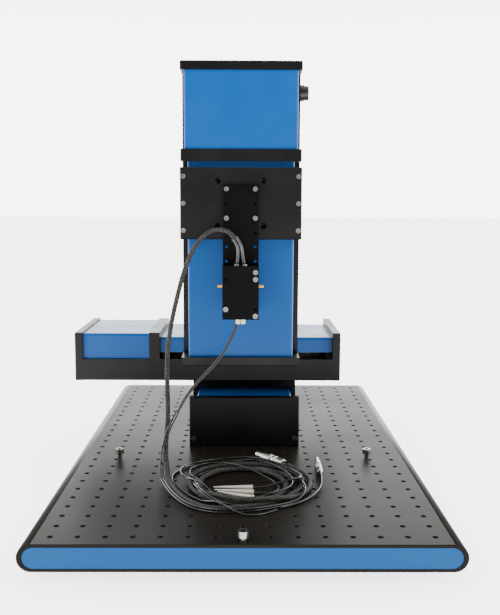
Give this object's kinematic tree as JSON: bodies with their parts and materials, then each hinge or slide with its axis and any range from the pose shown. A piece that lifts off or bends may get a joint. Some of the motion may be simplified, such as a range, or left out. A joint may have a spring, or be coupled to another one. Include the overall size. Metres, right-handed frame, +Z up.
{
  "type": "electrochemical workstation",
  "caption": "Benchtop positioning workstation: drilled base plate, crossed screw-driven linear stages with blue motor covers, and an upright stage with a probe head and its coiled cable.",
  "frame": {"origin": "Middle of the bottom of the object without its cables, on the surface that the feet stand on.", "axes": "+X to the right as seen from the front, where the probe head is, +Y to the back, along the base plate, +Z up."},
  "size_m": [0.4198, 0.64, 0.495],
  "materials": {
    "black_anodised": "satin black anodised aluminium",
    "blue_paint": "satin blue paint on folded sheet",
    "blue_strip": "satin blue painted strip",
    "steel": "ground steel",
    "screws": "bright stainless steel",
    "motor_black": "black painted steel",
    "connector_black": "moulded black plastic",
    "nickel": "nickel plated",
    "brass": "turned brass",
    "feet_rubber": "moulded black rubber",
    "relief_grey": "grey rubber",
    "braid": "black and grey braided sleeve",
    "lead_black": "black cable insulation",
    "clip_cream": "cream moulded sleeves"
  },
  "bodies": {
    "base": {"base_plate": "black_anodised", "front_strip": "blue_strip", "feet": "feet_rubber", "base_screws": "screws", "y_bed": "black_anodised", "y_end_plates": "black_anodised", "y_bulkhead": "black_anodised", "y_motor_cover": "blue_paint", "y_travel_cover": "blue_paint", "y_guide_rails": "steel", "y_motor": "motor_black", "y_connector": "connector_black", "sleeve_lower": "braid", "lead_lower": "lead_black", "plug_lead": "lead_black", "cable_coil": "braid", "large_plug": "nickel", "small_plug": "nickel", "lead_clips": "clip_cream"},
    "y_carriage": {"y_carriage_plate": "black_anodised", "y_carriage_arms": "black_anodised", "y_slide_saddle": "black_anodised", "x_bed": "black_anodised", "x_end_plates": "black_anodised", "x_bulkhead": "black_anodised", "x_motor_cover": "blue_paint", "x_travel_cover": "blue_paint", "x_guide_rails": "steel", "x_motor": "motor_black", "x_connector": "connector_black", "y_carriage_screws": "screws"},
    "x_carriage": {"x_carriage_plate": "black_anodised", "x_carriage_arms": "black_anodised", "x_slide_saddle": "black_anodised", "z_bed": "black_anodised", "z_end_plates": "black_anodised", "z_bulkhead": "black_anodised", "z_motor_cover": "blue_paint", "z_travel_cover": "blue_paint", "z_guide_rails": "steel", "z_motor": "motor_black", "z_connector": "connector_black", "x_carriage_screws": "screws", "angle_bracket": "black_anodised", "sleeve_middle": "braid", "lead_middle": "lead_black"},
    "z_carriage": {"z_carriage_plate": "black_anodised", "z_carriage_arms": "black_anodised", "z_slide_saddle": "black_anodised", "z_carriage_screws": "screws", "probe_bar": "black_anodised", "head_box": "black_anodised", "head_jacks": "brass", "head_collars": "nickel", "cable_reliefs": "relief_grey", "sleeve_upper": "braid", "lead_upper": "lead_black"},
    "y_screw": {"y_lead_screw": "steel"},
    "x_screw": {"x_lead_screw": "steel"},
    "z_screw": {"z_lead_screw": "steel"}
  },
  "joints": [
    {"name": "y_slide", "type": "slide", "parent": "base", "child": "y_carriage", "axis": [0, 1, 0], "range_m": [-0.055, 0.055], "deforming": ["sleeve_lower", "lead_lower"]},
    {"name": "x_slide", "type": "slide", "parent": "y_carriage", "child": "x_carriage", "axis": [1, 0, 0], "range_m": [-0.055, 0.055], "deforming": ["sleeve_middle", "lead_middle"]},
    {"name": "z_slide", "type": "slide", "parent": "x_carriage", "child": "z_carriage", "axis": [0, 0, 1], "range_m": [-0.105, 0.005], "deforming": ["sleeve_upper", "lead_upper"]},
    {"name": "y_screw_turn", "type": "hinge", "parent": "base", "child": "y_screw", "pos_m": [0.00893, -0.026, 0.07], "axis": [0, 1, 0], "range_deg": [-3961, 3961]},
    {"name": "x_screw_turn", "type": "hinge", "parent": "y_carriage", "child": "x_screw", "pos_m": [0.13307, 0.093, 0.1425], "axis": [1, 0, 0], "range_deg": [-3961, 3961]},
    {"name": "z_screw_turn", "type": "hinge", "parent": "x_carriage", "child": "z_screw", "pos_m": [0.00438, -0.0555, 0.152], "axis": [0, 0, 1], "range_deg": [-361, 7561]}
  ],
  "couplings": [
    {"joint": "y_screw_turn", "follows": "y_slide", "rad_per_m": -1256.6},
    {"joint": "x_screw_turn", "follows": "x_slide", "rad_per_m": -1256.6},
    {"joint": "z_screw_turn", "follows": "z_slide", "rad_per_m": -1256.6}
  ]
}
